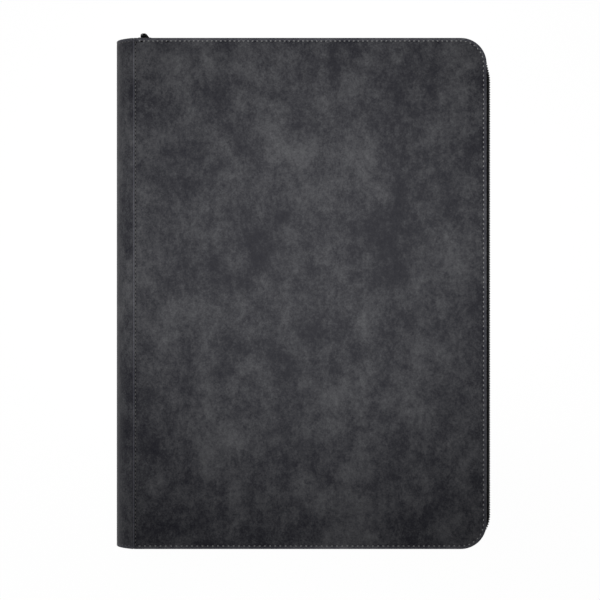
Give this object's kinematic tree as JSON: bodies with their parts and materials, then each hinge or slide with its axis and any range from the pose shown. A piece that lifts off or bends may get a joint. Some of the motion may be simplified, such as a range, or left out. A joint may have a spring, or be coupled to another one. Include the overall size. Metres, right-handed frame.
{
  "type": "trading card binder",
  "caption": "Zip-round leather-covered binder with a rounded spine, hinged covers and clear pocket pages for semi-rigid card holders.",
  "frame": {"origin": "centre of the back cover's outer face, which lies on the table", "axes": "+X from the spine to the fore-edge, +Y from tail to head, +Z from the back cover to the front cover"},
  "size_m": [0.308, 0.4247, 0.05],
  "materials": {
    "leather": "matt charcoal suede-like leather",
    "board": "plain grey board",
    "lining": "fine dark woven lining",
    "gusset": "black woven strip",
    "zip_tape": "black woven tape",
    "zip_teeth": "black moulded teeth",
    "zip_metal": "black enamel",
    "page_backing": "matt black sheet",
    "pocket_film": "clear glossy film"
  },
  "bodies": {
    "back_cover": {"back_skin": "leather", "back_board": "board", "back_lining": "lining", "back_gusset": "gusset", "back_zip_tape": "zip_tape", "back_zip_teeth": "zip_teeth", "back_top_stop": "zip_metal", "bottom_stop": "zip_metal"},
    "spine": {"spine_skin": "leather", "spine_board": "board", "spine_lining": "lining", "page_comb": "page_backing"},
    "front_cover": {"front_skin": "leather", "front_board": "board", "front_lining": "lining", "front_gusset": "gusset", "front_zip_tape": "zip_tape", "front_zip_teeth": "zip_teeth", "front_top_stop": "zip_metal"},
    "slider": {"slider_body": "zip_metal"},
    "puller": {"puller_link": "zip_metal", "puller_tab": "zip_metal"},
    "page_01": {"page_01_backing": "page_backing", "page_01_front_pockets": "pocket_film", "page_01_back_pockets": "pocket_film"},
    "page_02": {"page_02_backing": "page_backing", "page_02_front_pockets": "pocket_film", "page_02_back_pockets": "pocket_film"},
    "page_03": {"page_03_backing": "page_backing", "page_03_front_pockets": "pocket_film", "page_03_back_pockets": "pocket_film"},
    "page_04": {"page_04_backing": "page_backing", "page_04_front_pockets": "pocket_film", "page_04_back_pockets": "pocket_film"},
    "page_05": {"page_05_backing": "page_backing", "page_05_front_pockets": "pocket_film", "page_05_back_pockets": "pocket_film"},
    "page_06": {"page_06_backing": "page_backing", "page_06_front_pockets": "pocket_film", "page_06_back_pockets": "pocket_film"},
    "page_07": {"page_07_backing": "page_backing", "page_07_front_pockets": "pocket_film", "page_07_back_pockets": "pocket_film"},
    "page_08": {"page_08_backing": "page_backing", "page_08_front_pockets": "pocket_film", "page_08_back_pockets": "pocket_film"},
    "page_09": {"page_09_backing": "page_backing", "page_09_front_pockets": "pocket_film", "page_09_back_pockets": "pocket_film"},
    "page_10": {"page_10_backing": "page_backing", "page_10_front_pockets": "pocket_film", "page_10_back_pockets": "pocket_film"}
  },
  "joints": [
    {"name": "spine_hinge", "type": "hinge", "parent": "back_cover", "child": "spine", "pos_m": [-0.14375, 0, 0], "axis": [0, -1, 0], "range_deg": [0, 36]},
    {"name": "front_cover_hinge", "type": "hinge", "parent": "spine", "child": "front_cover", "pos_m": [-0.14375, 0, 0.05], "axis": [0, -1, 0], "range_deg": [0, 151]},
    {"name": "page_01_hinge", "type": "hinge", "parent": "spine", "child": "page_01", "pos_m": [-0.14375, 0, 0.0088], "axis": [0, -1, 0], "range_deg": [0, 6.5]},
    {"name": "page_02_hinge", "type": "hinge", "parent": "spine", "child": "page_02", "pos_m": [-0.14375, 0, 0.0124], "axis": [0, -1, 0], "range_deg": [0, 13.9]},
    {"name": "page_03_hinge", "type": "hinge", "parent": "spine", "child": "page_03", "pos_m": [-0.14375, 0, 0.016], "axis": [0, -1, 0], "range_deg": [0, 21.3]},
    {"name": "page_04_hinge", "type": "hinge", "parent": "spine", "child": "page_04", "pos_m": [-0.14375, 0, 0.0196], "axis": [0, -1, 0], "range_deg": [0, 28.7]},
    {"name": "page_05_hinge", "type": "hinge", "parent": "spine", "child": "page_05", "pos_m": [-0.14375, 0, 0.0232], "axis": [0, -1, 0], "range_deg": [0, 36.1]},
    {"name": "page_06_hinge", "type": "hinge", "parent": "spine", "child": "page_06", "pos_m": [-0.14375, 0, 0.0268], "axis": [0, -1, 0], "range_deg": [0, 43.4]},
    {"name": "page_07_hinge", "type": "hinge", "parent": "spine", "child": "page_07", "pos_m": [-0.14375, 0, 0.0304], "axis": [0, -1, 0], "range_deg": [0, 50.8]},
    {"name": "page_08_hinge", "type": "hinge", "parent": "spine", "child": "page_08", "pos_m": [-0.14375, 0, 0.034], "axis": [0, -1, 0], "range_deg": [0, 58.2]},
    {"name": "page_09_hinge", "type": "hinge", "parent": "spine", "child": "page_09", "pos_m": [-0.14375, 0, 0.0376], "axis": [0, -1, 0], "range_deg": [0, 65.6]},
    {"name": "page_10_hinge", "type": "hinge", "parent": "spine", "child": "page_10", "pos_m": [-0.14375, 0, 0.0412], "axis": [0, -1, 0], "range_deg": [0, 73]},
    {"name": "slider_travel", "type": "slide", "parent": "back_cover", "child": "slider", "axis": [1, 0, 0], "range_m": [0, 0.25]},
    {"name": "puller_swing", "type": "hinge", "parent": "slider", "child": "puller", "pos_m": [-0.13685, 0.2131, 0.025], "axis": [1, 0, 0], "range_deg": [0, 175]}
  ],
  "couplings": [
    {"joint": "page_01_hinge", "follows": "front_cover_hinge", "ratio": 0.04},
    {"joint": "page_02_hinge", "follows": "front_cover_hinge", "ratio": 0.0889},
    {"joint": "page_03_hinge", "follows": "front_cover_hinge", "ratio": 0.1378},
    {"joint": "page_04_hinge", "follows": "front_cover_hinge", "ratio": 0.1867},
    {"joint": "page_05_hinge", "follows": "front_cover_hinge", "ratio": 0.2356},
    {"joint": "page_06_hinge", "follows": "front_cover_hinge", "ratio": 0.2844},
    {"joint": "page_07_hinge", "follows": "front_cover_hinge", "ratio": 0.3333},
    {"joint": "page_08_hinge", "follows": "front_cover_hinge", "ratio": 0.3822},
    {"joint": "page_09_hinge", "follows": "front_cover_hinge", "ratio": 0.4311},
    {"joint": "page_10_hinge", "follows": "front_cover_hinge", "ratio": 0.48}
  ]
}
